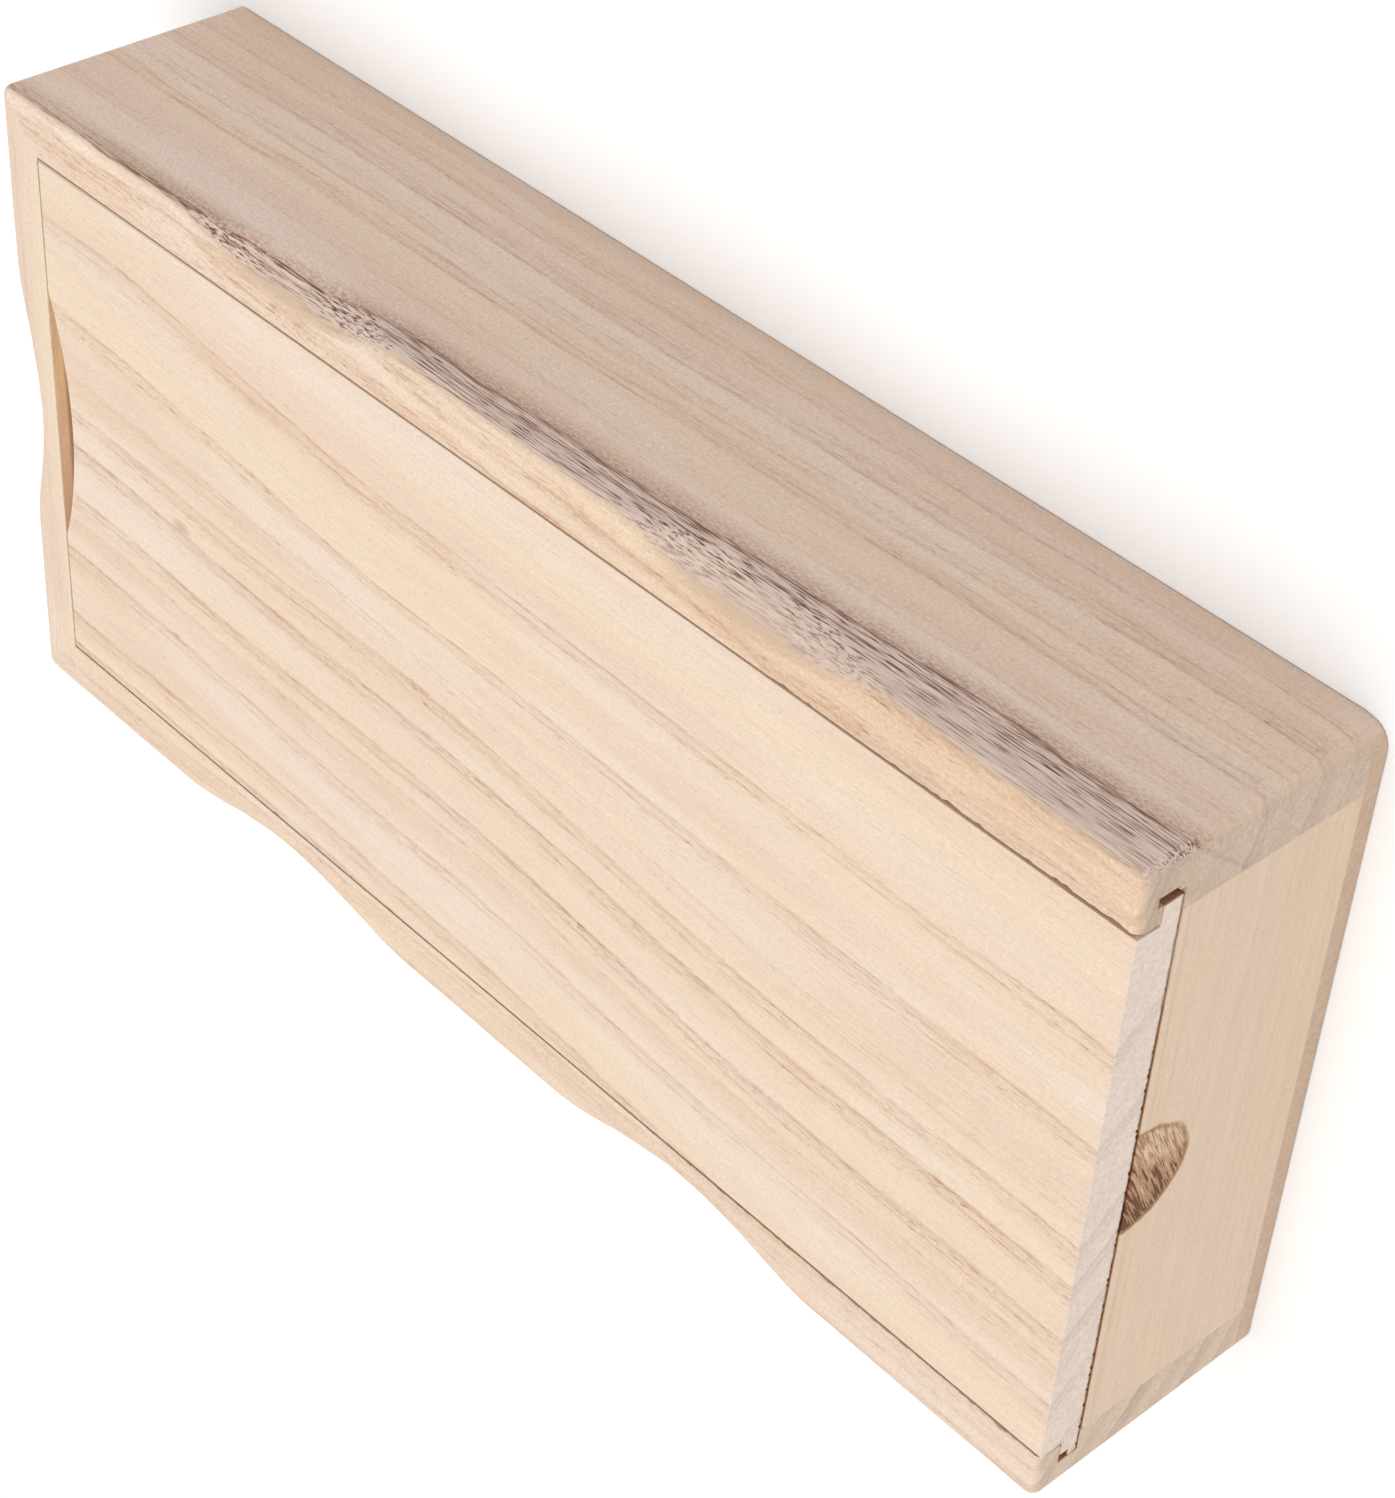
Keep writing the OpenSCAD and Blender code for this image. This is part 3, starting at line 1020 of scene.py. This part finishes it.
class BOX_OT_back_board(bpy.types.Operator):
    """Add the back board, mitred at both ends, with its one scoop"""

    bl_idname = "wooden_box.back_board"
    bl_label = "Back board"

    def execute(self, context):
        sizes = context.scene.box_sizes
        low, high = node_box("back_board")
        wall = sizes.wall / MM
        board = block(
            "back_wall_board", (low.x - 1, LOW.y / MM - 1, low.z),
            (low.x + wall, HIGH.y / MM + 1, high.z + 1))
        for way in (-1, 1):
            trim(board, (LOW.x / MM, way * HIGH.y / MM, 0), Vector((1, way, 0)))
        combine(board, groove_tool(sizes), "DIFFERENCE")
        combine(board, sanded_body(sizes), "INTERSECT")
        inner = low.x + wall
        round_edges(board, lambda edge: on_line(edge, x=inner, z=high.z), sizes.ease, 2)
        wood = bare_wood(context, "back_wood", "back_board", groove_shade, lip_light_and_shade)
        finish_board(board, "box", "back_board", wood)
        return {"FINISHED"}


class BOX_OT_front_panel(bpy.types.Operator):
    """Add the low front panel with its cut knot"""

    bl_idname = "wooden_box.front_panel"
    bl_label = "Front panel"

    def execute(self, context):
        sizes = context.scene.box_sizes
        low, high = node_box("front_panel")
        board = block("front_panel_board", low, high)
        round_edges(board, lambda edge: on_line(edge, x=high.x, z=high.z), sizes.panel_ease, 3)
        slice_board(board, 1, [low.y + PANEL_STEP * (cut + 1) for cut in range(PANEL_CUTS)])

        def tear(point):
            if point.z < high.z - 0.01:
                return point
            rag = uneven(point.y * 1.5, 3.0, 1.0) + uneven(point.y * 0.3, 5.0, 1.0)
            return point.x, point.y, point.z + 0.19 + 0.08 * rag

        move_points(board, tear)
        wood = bare_wood(context, "front_panel_wood", "front_panel", half_knot)
        finish_board(board, "box", "front_panel", wood)
        return {"FINISHED"}


class BOX_OT_bottom_board(bpy.types.Operator):
    """Add the thin bottom board with its worn lower edge"""

    bl_idname = "wooden_box.bottom_board"
    bl_label = "Bottom board"

    def execute(self, context):
        low, high = node_box("bottom_board")
        board = block(
            "bottom_panel_board", (low.x - 1, low.y - 1, low.z - 1),
            (high.x + 1, high.y + 1, high.z))
        combine(board, sanded_body(context.scene.box_sizes), "INTERSECT")
        wood = bare_wood(context, "bottom_wood", "bottom_board")
        finish_board(board, "box", "bottom_board", wood)
        return {"FINISHED"}


class BOX_OT_lid(bpy.types.Operator):
    """Add the sliding lid with its tongue and thumb notch"""

    bl_idname = "wooden_box.lid"
    bl_label = "Lid"

    def execute(self, context):
        sizes = context.scene.box_sizes
        low, high = node_box("lid")
        wall = sizes.wall / MM
        gap = sizes.gap / MM
        flare = sizes.flare / MM
        step = high.z - sizes.lip / MM - TONGUE_PLAY
        inner_x = LOW.x / MM + wall
        inner_y = HIGH.y / MM - wall
        board = block("sliding_lid", low, (high.x, high.y - TONGUE_SHORT, high.z))
        slice_board(board, 1, [low.y + LID_STEP * (cut + 1) for cut in range(LID_CUTS)])

        def widen(point):
            if point.y > inner_y:
                return point
            return point.x, point.y - flare * smoothstep(point.x, 30, 108), point.z

        # Rabbets along both sides and the back leave the tongue, the right one a bit wider
        # at the front
        for way in (-1, 1):
            near, far = sorted((way * (inner_y - gap), way * (inner_y + 9)))
            waste = block("rabbet_waste", (low.x - 1, near, step), (high.x + 1, far, high.z + 1))
            if way > 0:
                slice_board(waste, 0, [low.x + 4 * cut for cut in range(52)])
                move_points(waste, widen)
            combine(board, waste, "DIFFERENCE")
        waste = block(
            "rabbet_waste", (low.x - 1, low.y - 1, step), (inner_x + gap, high.y + 1, high.z + 1))
        combine(board, waste, "DIFFERENCE")

        # The notch is a crescent, cut by a wide cylinder
        length, depth = sizes.notch_length / MM, sizes.notch_depth / MM
        radius = ((length / 2) ** 2 + depth ** 2) / (2 * depth)
        bpy.ops.object.select_all(action="DESELECT")
        bpy.ops.mesh.primitive_cylinder_add(
            vertices=360, radius=radius * MM, depth=2 * (high.z - step) * MM,
            location=((inner_x + depth - radius) * MM, 0, high.z * MM))
        cutter = bpy.context.object
        bpy.ops.object.transform_apply(location=True, rotation=True, scale=True)
        combine(board, cutter, "DIFFERENCE")
        round_edges(
            board,
            lambda edge: on_line(edge, z=high.z)
            and edge.is_manifold and edge.calc_face_angle() > 1,
            sizes.ease * 0.8, 2)
        tongue_chip = block(
            "tongue_chip", (CHIP_START, low.y - 1, CHIP_FLOOR),
            (high.x + 1, low.y + CHIP_DEPTH, step + 1))
        combine(board, tongue_chip, "DIFFERENCE")

        def tear(point):
            # Only the lower edge of the front end
            x, y, z = point
            if x < high.x - 0.01 or z > low.z + 0.01:
                return point
            rag = uneven(y * 1.6, 8.0, 1.0) + uneven(y * 0.5, 2.0, 1.0)
            chip = max(uneven(y * 1.9, 5.0, 3.0) - 0.05, 0)
            chip *= 0.7 - 0.5 * smoothstep(y, 0, 30)
            return x - 0.10 + 0.09 * rag - 0.4 * chip, y, z + 0.08 + 0.15 * rag + 0.7 * chip

        move_points(board, tear)
        wood = bare_wood(context, "lid_wood", "lid", lid_spots)
        finish_board(board, "lid", "lid", wood)
        return {"FINISHED"}


class BOX_OT_studio(bpy.types.Operator):
    """Add the pale floor, the soft light and the camera"""

    bl_idname = "wooden_box.studio"
    bl_label = "Studio"

    def execute(self, context):
        look = context.scene.box_studio
        scene = context.scene
        bpy.ops.object.select_all(action="DESELECT")
        bpy.ops.mesh.primitive_plane_add(size=6, location=(0, 0, LOW.z - 0.02 * MM))
        floor = bpy.context.object
        floor.name = "pale_floor"
        floor.data.materials.append(plain_floor(look))

        world = bpy.data.worlds.new("Soft room")
        world.use_nodes = True
        sky = world.node_tree.nodes["Background"]
        sky.inputs["Color"].default_value = (1.0, 1.0, 1.0, 1.0)
        sky.inputs["Strength"].default_value = look.sky
        scene.world = world

        bpy.ops.object.light_add(type="SUN", location=(0.2, 0, 1.2))
        lamp = bpy.context.object
        lamp.name = "Broad lamp"
        lamp.data.energy = look.lamp
        lamp.data.angle = math.radians(50)
        lamp.rotation_euler = (0, look.lamp_lean, 0)

        bpy.ops.object.camera_add()
        camera = bpy.context.object
        camera.name = "Photo view"
        axes = Matrix((CAMERA_RIGHT, CAMERA_TOP, -Vector(CAMERA_AHEAD))).transposed()
        spot = Matrix.Translation(Vector(CAMERA_PLACE) * MM)
        camera.matrix_world = spot @ axes.to_4x4()
        camera.data.lens = look.lens
        camera.data.sensor_width = 36
        camera.data.clip_start = 0.01
        scene.camera = camera
        scene.view_settings.view_transform = "Standard"
        return {"FINISHED"}


class BOX_PT_panel(bpy.types.Panel):
    """The box's pieces and settings"""

    bl_idname = "BOX_PT_panel"
    bl_label = "Wooden box"
    bl_space_type = "VIEW_3D"
    bl_region_type = "UI"
    bl_category = "Wooden box"

    def draw(self, context):
        for group in (context.scene.box_sizes, context.scene.box_wood, context.scene.box_studio):
            column = self.layout.column(align=True)
            for key in group.__annotations__:
                column.prop(group, key)
        column = self.layout.column()
        for operator in PIECES:
            column.operator(operator.bl_idname)


PIECES = (
    BOX_OT_bottom_board,
    BOX_OT_right_side,
    BOX_OT_left_side,
    BOX_OT_back_board,
    BOX_OT_front_panel,
    BOX_OT_lid,
    BOX_OT_studio,
)
GROUPS = (("box_sizes", BoxSizes), ("box_wood", WoodLook), ("box_studio", StudioLook))


def register():
    for name, group in GROUPS:
        bpy.utils.register_class(group)
        setattr(bpy.types.Scene, name, bpy.props.PointerProperty(type=group))
    for piece in PIECES:
        bpy.utils.register_class(piece)
    bpy.utils.register_class(BOX_PT_panel)


def unregister():
    bpy.utils.unregister_class(BOX_PT_panel)
    for piece in reversed(PIECES):
        bpy.utils.unregister_class(piece)
    for name, group in reversed(GROUPS):
        delattr(bpy.types.Scene, name)
        bpy.utils.unregister_class(group)


def main():
    """Builds the box piece by piece."""
    register()
    bpy.ops.wooden_box.bottom_board()
    bpy.ops.wooden_box.right_side()
    bpy.ops.wooden_box.left_side()
    bpy.ops.wooden_box.back_board()
    bpy.ops.wooden_box.front_panel()
    bpy.ops.wooden_box.lid()
    bpy.ops.wooden_box.studio()
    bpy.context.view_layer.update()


if __name__ == "__main__":
    main()
